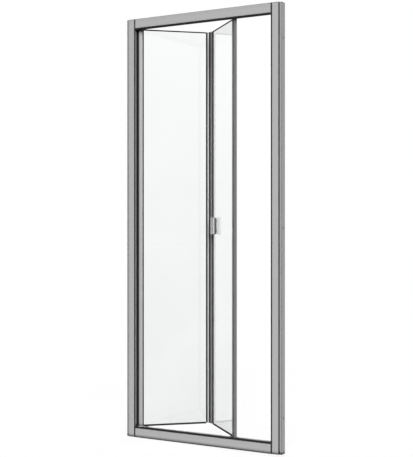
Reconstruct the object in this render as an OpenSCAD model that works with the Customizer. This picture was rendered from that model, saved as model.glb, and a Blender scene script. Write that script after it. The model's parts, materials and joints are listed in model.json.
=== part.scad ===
// Two-leaf bifold shower door in an aluminium frame.
// The hinged pair of glass leaves folds into the enclosure: the first leaf turns on pins beside
// the left post, and the closing edge of the second leaf follows the top and bottom rails.
// X runs to the right seen from the dry side, Y into the enclosure, Z up.
// The origin is the centre of the bottom rail's underside.

/* [Frame] */
// Overall width, wall to wall
frame_w = 780; // [740:5:900]
// Overall height
frame_h = 1900; // [1750:10:2050]
// Depth of the posts and rails
frame_d = 44; // [44:1:54]
// Face width of each post
post_w = 36; // [36:1:48]
// Height of the bottom rail and of the top rail with its seal
rail_h = 46; // [45:1:56]
// Wall thickness of the frame extrusions
wall_t = 2; // [1.6:0.1:2.4]
// How far each wall profile stands out of its post
profile_show = 12; // [4:1:20]
// Depth of the wall profile, front to back
profile_d = 32; // [30:1:34]
// Depth of engagement of each wall profile in its post
profile_in = 30; // [24:1:31]
// Thickness of the post end caps
post_cap_t = 1.6; // [1.2:0.2:2.4]
// Height of the black sealing strips along the rails
rail_seal_h = 8; // [6:1:10]

/* [Leaves] */
// Opening angle of the first leaf as drawn, 0 when the door is shut
fold_angle = 43; // [0:1:78]
// Thickness of the leaf stiles
stile_t = 16; // [15:0.5:18]
// Glass thickness
glass_t = 6; // [5:0.5:6.5]
// Face width of the first leaf's fold stile
pivot_fold_w = 12; // [11.5:0.5:24]
// Face width of the second leaf's fold stile
guide_fold_w = 24; // [12:1:30]
// Reach of the pivot and closing stiles over the glass, from the pin centre
stile_reach = 11; // [10.5:0.5:20]
// End of the closing stile beyond the guide pin centre
close_reach = 8; // [8:0.5:9]
// Gap under the leaves, over the bottom rail
leaf_gap = 3; // [2:0.5:5]
// Gap between the leaves' top edge and the top rail
top_gap = 2; // [1.5:0.5:4]
// Number of hinge knuckles along the fold
knuckle_n = 7; // [3:2:15]
// Diameter of the hinge knuckles
knuckle_d = 9; // [8.5:0.5:11]
// Diameter of the hinge rod
rod_d = 4.5; // [3.5:0.5:5]
// Thickness of the leaf end caps
leaf_cap_t = 1.5; // [1:0.25:2]
// Height of the trims along the panes' top and bottom edges
trim_h = 5; // [4:0.5:12]

/* [Pivots and guides] */
// Diameter of the pivot and guide pins
pin_d = 8; // [7:0.25:8]
// Length of the plugs inside the stiles
plug_h = 28; // [20:1:40]
// Distance of the pivot pins from the left post
pivot_gap = 12.5; // [11:0.25:13.5]
// Diameter of the track rollers
roller_d = 16; // [14:0.5:16.5]
// Width of each roller's tread
roller_w = 8; // [6:0.5:9]
// Diameter of the roller axles
axle_d = 4; // [3:0.5:5]
// Distance between the two roller axles
wheelbase = 36; // [28:1:50]
// Length of the bottom guide shoe
shoe_l = 40; // [36:1:60]
// Length of the pivot blocks along the rails
block_l = 40; // [36:1:60]

/* [Handle] */
// Handle width
handle_w = 36; // [30:1:60]
// Handle height
handle_h = 80; // [70:1:160]
// How far the handle stands out of the glass
handle_out = 19.5; // [16:0.5:20]
// Thickness of the handle's grip plate
handle_plate_t = 10; // [8:0.5:11]
// Distance of the handle from the fold axis
handle_off = 49; // [40:1:150]
// Height of the handle's centre above the shower tray
handle_z = 960; // [800:1:1150]
// Distance between the two handle bolts
bolt_pitch = 48; // [30:1:54]
// Diameter of the handle bolts
bolt_d = 5; // [4:0.5:6]

/* [Fasteners] */
// Diameter of the frame screws
screw_d = 4.2; // [3.5:0.1:4.6]
// Diameter of the frame screws' heads
screw_head_d = 7.2; // [6.6:0.1:7.4]
// Thickness of the frame screws' heads
screw_head_h = 2.6; // [2:0.1:3]
// Diameter of the wall screw holes
wall_hole_d = 6; // [5:0.5:8]
// Distance between the wall screw holes
wall_hole_pitch = 800; // [600:10:850]
// Distance between the width adjusting screws
adjust_pitch = 700; // [500:10:780]

/* [Hidden] */
$fn = 64;
// fits and small clearances
run_gap = 0.05;
slide_gap = 0.3;
soft_gap = 0.4;
over = 1;
// frame
half_open = frame_w / 2 - profile_show - post_w;
half_post = half_open + post_w;
half_d = frame_d / 2;
profile_t = 1.5;
strip_w = 5.5;
strip_t = wall_t / 2;
rail_z = rail_h;
head_z = frame_h - rail_h;
seal_t = 4;
seal_lip = rail_seal_h / 2;
seal_foot_h = 4;
clamp_t = 1.5;
post_z0 = post_cap_t;
post_l = frame_h - 2 * post_cap_t;
port_r = 4;
port_bite = 0.2;
port_y = half_d - wall_t - port_r + port_bite;
port_z = wall_t + port_r + 0.2;
// top track
track_slot = 13;
fascia_z = head_z + seal_lip;
ledge_z = fascia_z + 14;
track_z = ledge_z + wall_t;
// bottom channel
channel_w = 16;
channel_h = 18;
channel_z = rail_z - channel_h;
// leaves
stile_r = stile_t / 2;
hinge_off = stile_t / 2;
magnet_t = 5.5;
strike_t = 6;
magnet_w = 12;
magnet_seat = 1;
close_gap = 1;
guide_gap = close_reach + magnet_t + close_gap + strike_t;
leaf_l = (2 * half_open - pivot_gap - guide_gap) / 2;
leaf_z0 = rail_z + leaf_gap;
leaf_z1 = fascia_z - top_gap;
stile_z0 = leaf_z0 + leaf_cap_t;
stile_l = leaf_z1 - leaf_z0 - 2 * leaf_cap_t;
pivot_x = -half_open + pivot_gap;
guide_x = pivot_x + 2 * leaf_l * cos(fold_angle) + 2 * hinge_off * sin(fold_angle);
plug_r = stile_r - 2.8;
stile_wall = 1.6;
gasket_t = 1.3;
gasket_bed = 0.8;
gasket_bead = 5.5;
slot_w = glass_t + 2 * gasket_t;
slot_in = stile_reach - plug_r - stile_wall;
fold_slot_in = 4.2;
glass_x0 = stile_reach - slot_in + gasket_bed;
glass_z0 = leaf_z0 + 1;
glass_z1 = leaf_z1 - 1;
fold_gap = 0.3;
knuckle_r = knuckle_d / 2;
knuckle_clear = 0.4;
knuckle_step = stile_l / knuckle_n;
rod_r = rod_d / 2;
cavity_y = knuckle_r + knuckle_clear + stile_wall;
lug_h = 10;
trim_w = glass_t + 2;
// pivots
pin_r = pin_d / 2;
pin_in = plug_h - 2;
bush_r = pin_r + 2.4;
washer_r = pin_r + 3.5;
block_d = 32;
top_block_h = ledge_z - fascia_z;
pin_l = pin_in + top_gap + top_block_h - 2;
block_screw_l = 17.5;
block_screw_x = 32;
block_screw_y = 11;
// carriage and shoe, measured from the guide pin
roller_r = roller_d / 2;
axle_r = axle_d / 2;
roller_z = track_z + roller_r + run_gap;
lead_axle = 6;
carriage_end = 16;
carriage_l = wheelbase + lead_axle + carriage_end - 2;
carriage_w = 8;
carriage_z0 = leaf_z1 + 4;
carriage_h = roller_z + axle_r + 5 - carriage_z0;
carriage_pin_z1 = roller_z - axle_r - 3;
roller_y = 5.5;
clip_t = 1;
clip_r = axle_r + 2;
clip_y = roller_y + roller_w + slide_gap;
axle_half = clip_y + clip_t + 0.5;
shoe_w = channel_w - 1;
shoe_z0 = channel_z + 2;
shoe_h = 14;
buffer_t = 3.8;
buffer_h = 16;
// handles
handle_r = 4;
handle_x = -leaf_l + handle_off + handle_w / 2;
pad_t = 0.5;
base_t = handle_out - pad_t - handle_plate_t;
base_in = 3;
bolt_r = bolt_d / 2;
bolt_head_r = bolt_r + 4;
bolt_head_h = 4;
bolt_in = base_t + handle_plate_t - 3;
sleeve_r = bolt_r + 2.5;
// fasteners
screw_r = screw_d / 2;
screw_head_r = screw_head_d / 2;
corner_screw_l = 22;
adjust_screw_l = 10;
adjust_x = half_post - 10;
cap_r = screw_head_r + 2.2;
cap_h = screw_head_h + 1.6;
cap_fit = 0.2;
// colours as seen
alu = [0.67, 0.67, 0.67];
black = [0.08, 0.08, 0.08];
clear = [0.93, 0.95, 0.95, 0.4];
steel = [0.75, 0.75, 0.76];
plastic = [0.55, 0.55, 0.55];
white = [0.9, 0.9, 0.88];

// ---- helpers ----
// extrudes a section drawn as (depth, height) along X
module along_x(x0, len) {
    translate([x0, 0, 0])
        rotate([90, 0, 90])
            linear_extrude(len) children();
}

// extrudes a section drawn as (X, Z) along Y
module along_y(y0, len) {
    translate([0, y0 + len, 0])
        rotate([90, 0, 0])
            linear_extrude(len) children();
}

module rod_x(x0, len, r) {
    translate([x0, 0, 0])
        rotate([0, 90, 0])
            cylinder(h = len, r = r);
}

module rod_y(y0, len, r) {
    translate([0, y0, 0])
        rotate([-90, 0, 0])
            cylinder(h = len, r = r);
}

// rectangle centred on the origin with true round corners
module round_rect(w, h, r) {
    square([w - 2 * r, h], center = true);
    square([w, h - 2 * r], center = true);
    for (x = [-1, 1])
        for (y = [-1, 1])
            translate([x * (w / 2 - r), y * (h / 2 - r)])
                circle(r = r);
}

// distance from the fold axis to the edge of the glass in a fold stile of width w
function glass_edge(w) = w - fold_slot_in + gasket_bed;

// places children at both ends of the frame, the left one mirrored
module both_sides() {
    children();
    mirror([1, 0, 0]) children();
}

module in_pivot_leaf() {
    translate([pivot_x, 0, 0])
        rotate([0, 0, fold_angle]) children();
}

module in_guide_leaf() {
    translate([guide_x, 0, 0])
        rotate([0, 0, -fold_angle]) children();
}

module at_guide() {
    translate([guide_x, 0, 0]) children();
}

// ---- frame ----
module port_places() {
    for (s = [-1, 1])
        for (z = [port_z, frame_h - port_z])
            translate([0, s * port_y, z]) children();
}

module adjust_places() {
    for (k = [-1, 0, 1])
        translate([adjust_x, 0, frame_h / 2 + k * adjust_pitch]) children();
}

// U-section with its web against the wall, drilled for three wall screws
module wall_profile() {
    difference() {
        translate([0, 0, post_z0])
            linear_extrude(post_l)
                difference() {
                    translate([half_post - profile_in, -profile_d / 2])
                        square([profile_in + profile_show, profile_d]);
                    translate([half_post - profile_in - over, -profile_d / 2 + profile_t])
                        square([profile_in + profile_show + over - profile_t,
                            profile_d - 2 * profile_t]);
                }
        for (k = [-1, 0, 1])
            translate([0, 0, frame_h / 2 + k * wall_hole_pitch])
                rod_x(half_post + profile_show - profile_t - over, profile_t + 2 * over,
                    wall_hole_d / 2);
        adjust_places()
            rod_y(0, half_d, screw_r);
    }
}

module post_section() {
    lip = half_d - wall_t - profile_d / 2 - slide_gap;
    translate([half_open, -half_d])
        square([wall_t, frame_d]);
    for (s = [0, 1])
        mirror([0, s]) {
            translate([half_open, half_d - wall_t])
                square([post_w, wall_t]);
            translate([half_post - wall_t, half_d - wall_t - lip])
                square([wall_t, lip + wall_t]);
        }
}

module edge_strip_section(out) {
    translate([half_open - out, -half_d - out])
        square([strip_w + out, strip_t + out]);
}

// C-section that slides over the wall profile, rebated for its edge strip
module post() {
    difference() {
        translate([0, 0, post_z0])
            linear_extrude(post_l)
                difference() {
                    post_section();
                    edge_strip_section(over);
                }
        port_places()
            rod_x(half_open - over, wall_t + 2 * over, screw_r);
        adjust_places()
            rod_y(half_d - wall_t - over, wall_t + 2 * over, screw_r);
    }
}

module post_cap(z, lug_dir) {
    translate([0, 0, z]) {
        translate([half_open, -half_d, 0])
            cube([post_w, frame_d, post_cap_t]);
        translate([half_post, -profile_d / 2, 0])
            cube([profile_show, profile_d, post_cap_t]);
        translate([half_post - profile_in + 2, -profile_d / 2 + profile_t + slide_gap,
            lug_dir > 0 ? post_cap_t : -lug_h])
            cube([profile_in + profile_show - 4 - profile_t,
                profile_d - 2 * profile_t - 2 * slide_gap, lug_h]);
    }
}

module left_wall_profile() {
    color(alu) mirror([1, 0, 0]) wall_profile();
}

module right_wall_profile() {
    color(alu) wall_profile();
}

module left_post() {
    color(alu) mirror([1, 0, 0]) post();
}

module right_post() {
    color(alu) post();
}

module post_top_caps() {
    color(plastic) both_sides() post_cap(frame_h - post_cap_t, -1);
}

module post_bottom_caps() {
    color(plastic) both_sides() post_cap(0, 1);
}

module port_bores(z) {
    for (s = [-1, 1])
        translate([s * port_y, z])
            circle(r = screw_r);
}

module port_bodies(z) {
    for (s = [-1, 1]) {
        translate([s * port_y, z])
            circle(r = port_r);
        translate([s > 0 ? port_y : -half_d + wall_t / 2, z - port_r / 2])
            square([half_d - wall_t / 2 - port_y, port_r]);
    }
}

// fascia, roof and back wall, with two ledges for the rollers
module top_rail_section() {
    difference() {
        union() {
            translate([-half_d, frame_h - wall_t])
                square([frame_d, wall_t]);
            for (s = [0, 1])
                mirror([s, 0]) {
                    translate([half_d - wall_t, fascia_z])
                        square([wall_t, frame_h - fascia_z]);
                    translate([track_slot / 2, ledge_z])
                        square([half_d - wall_t / 2 - track_slot / 2, wall_t]);
                }
            translate([-half_d + seal_t, fascia_z])
                square([clamp_t, seal_foot_h + clamp_t]);
            translate([-half_d + wall_t / 2, fascia_z + seal_foot_h])
                square([seal_t - wall_t / 2 + clamp_t, clamp_t]);
            port_bodies(frame_h - port_z);
        }
        port_bores(frame_h - port_z);
    }
}

module top_rail() {
    color(alu)
        difference() {
            along_x(-half_open, 2 * half_open) top_rail_section();
            for (s = [-1, 1])
                translate([-half_open + block_screw_x, s * block_screw_y, ledge_z - over])
                    cylinder(h = wall_t + 2 * over, r = screw_r);
        }
}

// box section with the guide channel sunk into its top
module bottom_rail_section() {
    foot_z = rail_z - seal_lip - seal_foot_h;
    difference() {
        union() {
            translate([-half_d, 0])
                square([frame_d, wall_t]);
            translate([-half_d, 0])
                square([wall_t, rail_z - seal_lip]);
            translate([half_d - wall_t, 0])
                square([wall_t, rail_z]);
            translate([-half_d + seal_t, foot_z - clamp_t])
                square([clamp_t, rail_z - foot_z + clamp_t]);
            translate([-half_d + wall_t / 2, foot_z - clamp_t])
                square([seal_t - wall_t / 2 + clamp_t, clamp_t]);
            translate([-half_d + seal_t, rail_z - wall_t])
                square([half_d - seal_t - channel_w / 2, wall_t]);
            translate([channel_w / 2, rail_z - wall_t])
                square([half_d - channel_w / 2, wall_t]);
            for (s = [0, 1])
                mirror([s, 0])
                    translate([channel_w / 2, channel_z - wall_t])
                        square([wall_t, channel_h + wall_t]);
            translate([-channel_w / 2 - wall_t, channel_z - wall_t])
                square([channel_w + 2 * wall_t, wall_t]);
            translate([-wall_t / 2, wall_t / 2])
                square([wall_t, channel_z - wall_t]);
            port_bodies(port_z);
        }
        port_bores(port_z);
    }
}

module bottom_rail() {
    color(alu)
        difference() {
            along_x(-half_open, 2 * half_open) bottom_rail_section();
            translate([-half_open + block_screw_x, 0, channel_z - wall_t - over])
                cylinder(h = wall_t + 2 * over, r = screw_r);
        }
}

// head at the origin, shank along +X
module frame_screw(shank) {
    rod_x(-screw_head_h, screw_head_h, screw_head_r);
    rod_x(-over / 2, shank + over / 2, screw_r);
}

module corner_screws() {
    color(steel)
        both_sides()
            port_places()
                translate([half_open + wall_t, 0, 0])
                    mirror([1, 0, 0]) frame_screw(corner_screw_l);
}

module adjusting_screws() {
    color(steel)
        both_sides()
            adjust_places()
                translate([0, half_d, 0])
                    rotate([0, 0, -90]) frame_screw(adjust_screw_l);
}

module screw_cap() {
    difference() {
        rod_y(half_d, cap_h, cap_r);
        rod_y(half_d - over, screw_head_h + cap_fit + over, screw_head_r + cap_fit);
    }
}

module screw_caps() {
    color(plastic) both_sides() adjust_places() screw_cap();
}

// thin strips let into the posts' inner front corners
module post_edge_strips() {
    color(black)
        both_sides()
            translate([0, 0, post_z0])
                linear_extrude(post_l)
                    edge_strip_section(0);
}

module top_rail_seal() {
    color(black)
        along_x(-half_open, 2 * half_open) {
            translate([-half_d, fascia_z - rail_seal_h])
                square([seal_t, rail_seal_h]);
            translate([-half_d + wall_t, fascia_z - over])
                square([seal_t - wall_t, seal_foot_h + over]);
        }
}

module bottom_rail_seal() {
    color(black)
        along_x(-half_open, 2 * half_open) {
            translate([-half_d, rail_z - seal_lip])
                square([seal_t, rail_seal_h]);
            translate([-half_d + wall_t, rail_z - seal_lip - seal_foot_h])
                square([seal_t - wall_t, seal_foot_h + over]);
        }
}

// soft strip filling the gap beside the pivot stile
module pivot_post_seal() {
    reach = pivot_gap - stile_r - soft_gap - 0.2;
    width = 4;
    color(black)
        translate([-half_open, 0, rail_z + seal_lip])
            cube([reach, width, head_z - rail_z - 2 * seal_lip]);
}

module strike_magnet_seal() {
    color(plastic)
        translate([half_open - strike_t, -magnet_w / 2, rail_z + seal_lip])
            cube([strike_t, magnet_w, head_z - rail_z - 2 * seal_lip]);
}

// head down, shank up
module block_screw() {
    cylinder(h = screw_head_h, r = screw_head_r);
    cylinder(h = screw_head_h + block_screw_l, r = screw_r);
}

module top_block_screw_places() {
    for (s = [-1, 1])
        translate([-half_open + block_screw_x, s * block_screw_y, fascia_z]) children();
}

module bottom_block_screw_place() {
    translate([-half_open + block_screw_x, 0, rail_z])
        mirror([0, 0, 1]) children();
}

module pivot_block_screws() {
    color(steel) {
        top_block_screw_places() block_screw();
        bottom_block_screw_place() block_screw();
    }
}

module top_pivot_block() {
    color(plastic)
        difference() {
            translate([-half_open, -block_d / 2, fascia_z])
                cube([block_l, block_d, top_block_h]);
            translate([pivot_x, 0, fascia_z - over])
                cylinder(h = top_block_h + 2 * over, r = bush_r);
            top_block_screw_places() block_screw();
        }
}

module bottom_pivot_block() {
    color(plastic)
        difference() {
            translate([-half_open, -channel_w / 2, channel_z])
                cube([block_l, channel_w, channel_h]);
            translate([pivot_x, 0, channel_z - over])
                cylinder(h = channel_h + 2 * over, r = bush_r);
            bottom_block_screw_place() block_screw();
        }
}

module ring(z, h, outer, inner) {
    translate([pivot_x, 0, z])
        difference() {
            cylinder(h = h, r = outer);
            translate([0, 0, -over])
                cylinder(h = h + 2 * over, r = inner);
        }
}

module top_pivot_bush() {
    color(white) ring(fascia_z, top_block_h, bush_r, pin_r + run_gap);
}

module bottom_pivot_bush() {
    color(white) ring(channel_z, channel_h, bush_r, pin_r + run_gap);
}

// carries the weight of the leaves on the bottom bush
module thrust_washer() {
    color(white) ring(rail_z, leaf_gap - run_gap, washer_r, pin_r + run_gap);
}

module track_buffer() {
    color(black)
        translate([half_open - buffer_t, -carriage_w, track_z])
            cube([buffer_t, 2 * carriage_w, buffer_h]);
}

// ---- leaves ----
// round-ended section on the pin centre, slotted for the glass
module pivot_stile_section() {
    difference() {
        union() {
            circle(r = stile_r);
            translate([0, -stile_r])
                square([stile_reach, stile_t]);
        }
        circle(r = plug_r);
        translate([stile_reach - slot_in, -slot_w / 2])
            square([slot_in + over, slot_w]);
    }
}

// square-ended section on the pin centre, slotted for the glass and the magnet strip
module closing_stile_section() {
    difference() {
        translate([-stile_reach, -stile_r])
            square([stile_reach + close_reach, stile_t]);
        circle(r = plug_r);
        translate([-stile_reach - over, -slot_w / 2])
            square([slot_in + over, slot_w]);
        translate([close_reach - magnet_seat, -magnet_w / 2 + 1])
            square([magnet_seat + over, magnet_w - 2]);
    }
}

// section of a fold stile of width w, drawn from the fold axis towards -X
module fold_outline(w) {
    difference() {
        translate([-w, 0])
            square([w - fold_gap, stile_t]);
        circle(r = knuckle_r + knuckle_clear);
    }
}

// barrel round the fold axis with the root that joins it to its stile
module knuckle_section() {
    circle(r = knuckle_r);
    intersection() {
        circle(r = knuckle_r + 2 * knuckle_clear);
        translate([-knuckle_d, 0])
            square([knuckle_d - fold_gap, stile_t]);
    }
}

// hollow behind the knuckles, reaching forward beside them in a wide stile
module fold_cavity(w) {
    x = w - fold_slot_in - stile_wall;
    translate([-x, cavity_y])
        square([x - fold_gap - stile_wall, stile_t - stile_wall - cavity_y]);
    if (x > cavity_y + stile_wall)
        translate([-x, stile_wall])
            square([x - cavity_y, stile_t - 2 * stile_wall]);
}

module fold_stile(w, first, bore) {
    difference() {
        union() {
            linear_extrude(stile_l)
                fold_outline(w);
            for (k = [first : 2 : knuckle_n - 1])
                translate([0, 0, k * knuckle_step + slide_gap / 2])
                    linear_extrude(knuckle_step - slide_gap)
                        knuckle_section();
        }
        translate([0, 0, -over])
            linear_extrude(stile_l + 2 * over) {
                fold_cavity(w);
                translate([-w - over, stile_r - slot_w / 2])
                    square([fold_slot_in + over, slot_w]);
            }
        translate([0, 0, -over])
            cylinder(h = stile_l + 2 * over, r = bore);
    }
}

// end caps of a fold stile with their lugs, cut back from the glass
module fold_caps(w, with_knuckle) {
    for (s = [0, 1])
        translate([0, 0, s * (leaf_z1 + leaf_z0)])
            mirror([0, 0, s]) {
                translate([0, 0, leaf_z0])
                    linear_extrude(leaf_cap_t) {
                        intersection() {
                            fold_outline(w);
                            translate([-glass_edge(w), 0])
                                square([glass_edge(w), stile_t]);
                        }
                        if (with_knuckle)
                            knuckle_section();
                    }
                translate([0, 0, leaf_z0 + leaf_cap_t])
                    linear_extrude(lug_h)
                        fold_cavity(w);
            }
}

// U-shaped glazing gasket: slot mouth at x = 0, glass towards +X
module gasket_section(depth) {
    difference() {
        union() {
            translate([-depth, -slot_w / 2])
                square([depth, slot_w]);
            translate([0, -slot_w / 2 - 0.5])
                square([gasket_bead, slot_w + 1]);
        }
        translate([-depth + gasket_bed, -glass_t / 2])
            square([depth + gasket_bead, glass_t]);
    }
}

module gasket(depth) {
    translate([0, 0, stile_z0])
        linear_extrude(stile_l)
            gasket_section(depth);
}

module glass_pane(x0, x1) {
    translate([x0, -glass_t / 2, glass_z0])
        cube([x1 - x0, glass_t, glass_z1 - glass_z0]);
}

// clip-on seal along the bottom edge of a pane, with a lip down to the rail
module drip_seal(x0, x1) {
    lip_w = 1.6;
    along_x(x0, x1 - x0)
        difference() {
            union() {
                translate([-trim_w / 2, leaf_z0])
                    square([trim_w, trim_h]);
                translate([-lip_w / 2, rail_z + soft_gap])
                    square([lip_w, leaf_gap]);
            }
            translate([-glass_t / 2, glass_z0])
                square([glass_t, trim_h]);
        }
}

// clip-on trim along the top edge of a pane
module top_trim(x0, x1) {
    along_x(x0, x1 - x0)
        difference() {
            translate([-trim_w / 2, leaf_z1 - trim_h])
                square([trim_w, trim_h]);
            translate([-glass_t / 2, glass_z1 - trim_h])
                square([glass_t, trim_h]);
        }
}

// plug pressed into the end of a stile, its plate closing the section
module stile_plug(z_end, dir, bore) {
    translate([0, 0, z_end])
        mirror([0, 0, dir > 0 ? 0 : 1])
            difference() {
                union() {
                    linear_extrude(leaf_cap_t)
                        children();
                    translate([0, 0, leaf_cap_t - over / 2])
                        cylinder(h = plug_h - leaf_cap_t + over / 2, r = plug_r);
                }
                translate([0, 0, -over])
                    cylinder(h = plug_h + 2 * over, r = bore);
            }
}

module pivot_plate() {
    intersection() {
        circle(r = stile_r);
        translate([-stile_r, -stile_r])
            square([stile_r + glass_x0 / 2, stile_t]);
    }
    translate([0, -stile_r])
        square([glass_x0, stile_t]);
}

module closing_plate() {
    translate([-glass_x0, -stile_r])
        square([glass_x0 + close_reach - magnet_seat, stile_t]);
}

module pivot_leaf_glass() {
    color(clear) in_pivot_leaf() glass_pane(glass_x0, leaf_l - glass_edge(pivot_fold_w));
}

module pivot_leaf_pivot_stile() {
    color(alu)
        in_pivot_leaf()
            translate([0, 0, stile_z0])
                linear_extrude(stile_l)
                    pivot_stile_section();
}

module pivot_leaf_fold_stile() {
    color(alu)
        in_pivot_leaf()
            translate([leaf_l, -hinge_off, stile_z0])
                fold_stile(pivot_fold_w, 0, rod_r);
}

module pivot_leaf_gaskets() {
    color(black)
        in_pivot_leaf() {
            translate([stile_reach, 0, 0])
                gasket(slot_in);
            translate([leaf_l - pivot_fold_w, 0, 0])
                mirror([1, 0, 0]) gasket(fold_slot_in);
        }
}

module pivot_leaf_top_trim() {
    color(black)
        in_pivot_leaf()
            top_trim(stile_reach + gasket_bead, leaf_l - pivot_fold_w - gasket_bead);
}

module pivot_leaf_drip_seal() {
    color(black)
        in_pivot_leaf()
            drip_seal(stile_reach + gasket_bead, leaf_l - pivot_fold_w - gasket_bead);
}

module pivot_leaf_fold_caps() {
    color(plastic)
        in_pivot_leaf()
            translate([leaf_l, -hinge_off, 0])
                fold_caps(pivot_fold_w, true);
}

module top_pivot_plug() {
    color(plastic) in_pivot_leaf() stile_plug(leaf_z1, -1, pin_r) pivot_plate();
}

module bottom_pivot_plug() {
    color(plastic) in_pivot_leaf() stile_plug(leaf_z0, 1, pin_r) pivot_plate();
}

module pivot_pins() {
    color(steel)
        in_pivot_leaf() {
            translate([0, 0, leaf_z1 - pin_in])
                cylinder(h = pin_l, r = pin_r);
            translate([0, 0, leaf_z0 + pin_in])
                mirror([0, 0, 1])
                    cylinder(h = pin_l, r = pin_r);
        }
}

module hinge_rod() {
    color(steel)
        in_pivot_leaf()
            translate([leaf_l, -hinge_off, stile_z0])
                cylinder(h = stile_l, r = rod_r);
}

module bolt_places() {
    for (s = [-1, 1])
        translate([handle_x, 0, handle_z + s * bolt_pitch / 2]) children();
}

module guide_leaf_glass() {
    color(clear)
        in_guide_leaf()
            difference() {
                glass_pane(-leaf_l + glass_edge(guide_fold_w), -glass_x0);
                bolt_places()
                    rod_y(-glass_t, 2 * glass_t, sleeve_r);
            }
}

module guide_leaf_fold_stile() {
    color(alu)
        in_guide_leaf()
            translate([-leaf_l, -hinge_off, stile_z0])
                mirror([1, 0, 0]) fold_stile(guide_fold_w, 1, rod_r + run_gap);
}

module guide_leaf_closing_stile() {
    color(alu)
        in_guide_leaf()
            translate([0, 0, stile_z0])
                linear_extrude(stile_l)
                    closing_stile_section();
}

module guide_leaf_gaskets() {
    color(black)
        in_guide_leaf() {
            translate([-stile_reach, 0, 0])
                mirror([1, 0, 0]) gasket(slot_in);
            translate([-leaf_l + guide_fold_w, 0, 0])
                gasket(fold_slot_in);
        }
}

module guide_leaf_top_trim() {
    color(black)
        in_guide_leaf()
            top_trim(-leaf_l + guide_fold_w + gasket_bead, -stile_reach - gasket_bead);
}

module guide_leaf_drip_seal() {
    color(black)
        in_guide_leaf()
            drip_seal(-leaf_l + guide_fold_w + gasket_bead, -stile_reach - gasket_bead);
}

module guide_leaf_fold_caps() {
    color(plastic)
        in_guide_leaf()
            translate([-leaf_l, -hinge_off, 0])
                mirror([1, 0, 0]) fold_caps(guide_fold_w, false);
}

module top_guide_plug() {
    color(plastic) in_guide_leaf() stile_plug(leaf_z1, -1, pin_r + run_gap) closing_plate();
}

module bottom_guide_plug() {
    color(plastic) in_guide_leaf() stile_plug(leaf_z0, 1, pin_r + run_gap) closing_plate();
}

module closing_magnet_seal() {
    color(plastic)
        in_guide_leaf() {
            translate([close_reach, -magnet_w / 2, stile_z0])
                cube([magnet_t, magnet_w, stile_l]);
            translate([close_reach - magnet_seat, -magnet_w / 2 + 1, stile_z0])
                cube([magnet_seat + over, magnet_w - 2, stile_l]);
        }
}

// ---- handle ----
module handle_plate(y0, t, inset) {
    translate([handle_x, 0, handle_z])
        along_y(y0, t)
            round_rect(handle_w - 2 * inset, handle_h - 2 * inset, handle_r);
}

// grip plate held off the glass by its base, so that fingers reach behind its edges
module handle_grip() {
    back = -glass_t / 2 - pad_t - base_t;
    color(alu)
        in_guide_leaf()
            difference() {
                handle_plate(back - handle_plate_t, handle_plate_t, 0);
                bolt_places()
                    rod_y(back - bolt_in + base_t, bolt_in - base_t + over, bolt_r);
            }
}

module handle_base() {
    color(plastic)
        in_guide_leaf()
            difference() {
                handle_plate(-glass_t / 2 - pad_t - base_t, base_t, base_in);
                bolt_places()
                    rod_y(-glass_t / 2 - pad_t - base_t - over, base_t + 2 * over, bolt_r);
            }
}

// soft pads against the glass, under the base and under each bolt head
module handle_pads() {
    color(black)
        in_guide_leaf()
            difference() {
                union() {
                    handle_plate(-glass_t / 2 - pad_t, pad_t, base_in + 0.5);
                    bolt_places()
                        rod_y(glass_t / 2, pad_t, bolt_head_r);
                }
                bolt_places()
                    rod_y(-glass_t, 2 * glass_t, bolt_r);
            }
}

module handle_sleeves() {
    color(white)
        in_guide_leaf()
            bolt_places()
                difference() {
                    rod_y(-glass_t / 2, glass_t, sleeve_r);
                    rod_y(-glass_t, 2 * glass_t, bolt_r);
                }
}

// studs from the grip plate through the glass, with round heads on the inner side
module handle_bolts() {
    head_y = glass_t / 2 + pad_t;
    tip_y = -glass_t / 2 - pad_t - bolt_in;
    color(steel)
        in_guide_leaf()
            bolt_places() {
                rod_y(tip_y, head_y - tip_y + over, bolt_r);
                rod_y(head_y, bolt_head_h, bolt_head_r);
            }
}

// ---- top carriage ----
module axle_places() {
    for (x = [lead_axle, lead_axle - wheelbase])
        translate([x, 0, roller_z]) children();
}

module carriage_body() {
    color(plastic)
        at_guide()
            difference() {
                translate([carriage_end - carriage_l, -carriage_w / 2, carriage_z0])
                    cube([carriage_l, carriage_w, carriage_h]);
                axle_places()
                    rod_y(-carriage_w, 2 * carriage_w, axle_r);
                translate([0, 0, carriage_z0 - over])
                    cylinder(h = carriage_pin_z1 - carriage_z0 + over, r = pin_r - 1);
            }
}

module carriage_axles() {
    color(steel) at_guide() axle_places() rod_y(-axle_half, 2 * axle_half, axle_r);
}

module axle_clips() {
    color(steel)
        at_guide()
            axle_places()
                for (s = [0, 1])
                    mirror([0, s, 0])
                        difference() {
                            rod_y(clip_y, clip_t, clip_r);
                            rod_y(clip_y - over, clip_t + 2 * over, axle_r);
                        }
}

// stepped stud: thick in the leaf, thinner where it is fixed in the carriage
module carriage_pin() {
    color(steel)
        at_guide() {
            translate([0, 0, leaf_z1 - pin_in])
                cylinder(h = carriage_z0 - leaf_z1 + pin_in, r = pin_r);
            translate([0, 0, carriage_z0 - over])
                cylinder(h = carriage_pin_z1 - carriage_z0 + over, r = pin_r - 1);
        }
}

module roller(x, side) {
    at_guide()
        translate([x, 0, roller_z])
            mirror([0, side, 0])
                difference() {
                    rod_y(roller_y, roller_w, roller_r);
                    rod_y(roller_y - over, roller_w + 2 * over, axle_r + run_gap);
                }
}

module leading_outer_roller() {
    color(white) roller(lead_axle, 1);
}

module leading_inner_roller() {
    color(white) roller(lead_axle, 0);
}

module trailing_outer_roller() {
    color(white) roller(lead_axle - wheelbase, 1);
}

module trailing_inner_roller() {
    color(white) roller(lead_axle - wheelbase, 0);
}

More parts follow.
